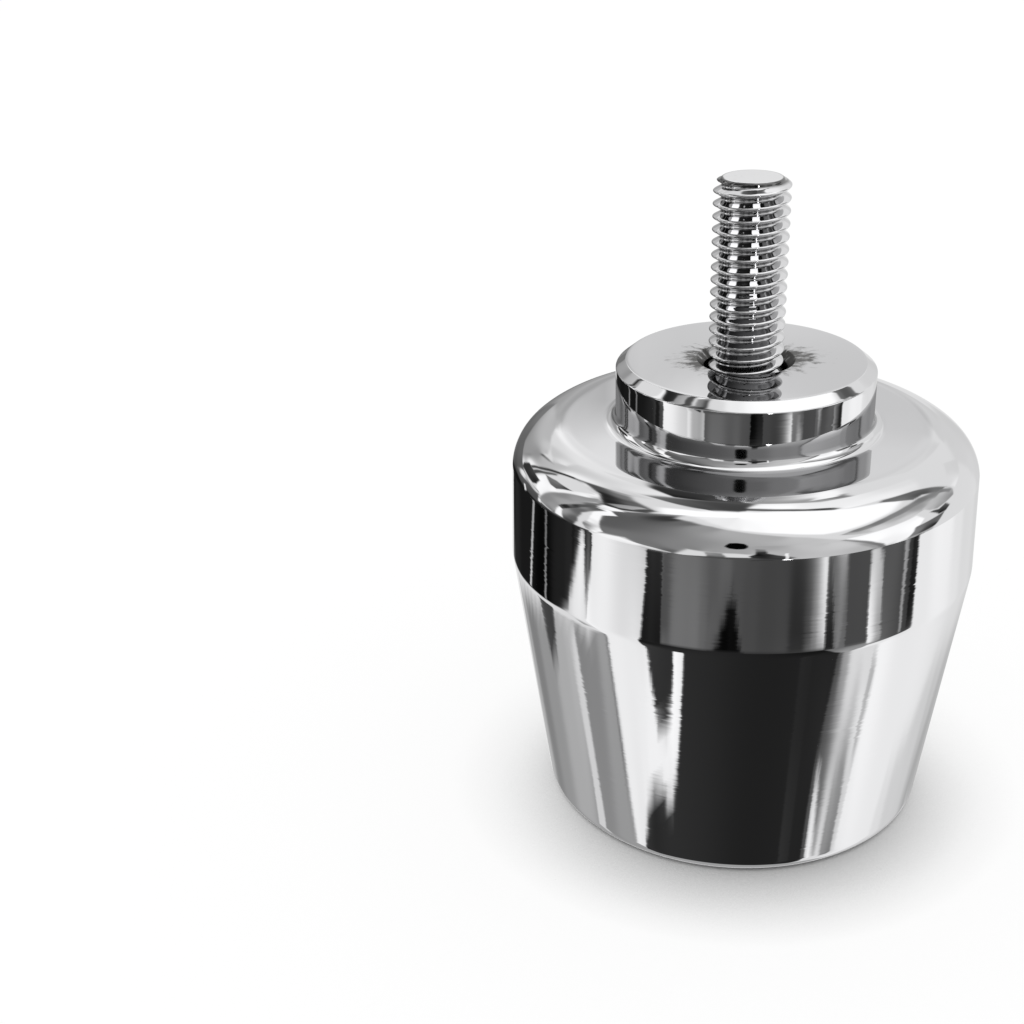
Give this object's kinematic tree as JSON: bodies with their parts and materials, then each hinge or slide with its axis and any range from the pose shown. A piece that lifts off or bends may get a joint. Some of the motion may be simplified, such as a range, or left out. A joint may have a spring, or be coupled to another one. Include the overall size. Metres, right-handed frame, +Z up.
{
  "type": "bar end weight",
  "caption": "Chromed bar end weight for a motorbike handlebar: tapered turned body with a boss, held on by a recessed socket screw through its middle.",
  "frame": {"origin": "middle of the flat outer face, on which the part stands", "axes": "+Z up along the turning axis, out of the boss and towards the screw's tip; X and Y are any two directions square to it"},
  "size_m": [0.0378, 0.0378, 0.0525],
  "materials": {
    "body_chrome": "mirror polished bright chrome, with a satin outer face",
    "screw_plating": "bright plated steel"
  },
  "bodies": {
    "root": {"weight_body": "body_chrome", "fixing_screw": "screw_plating"}
  },
  "joints": []
}
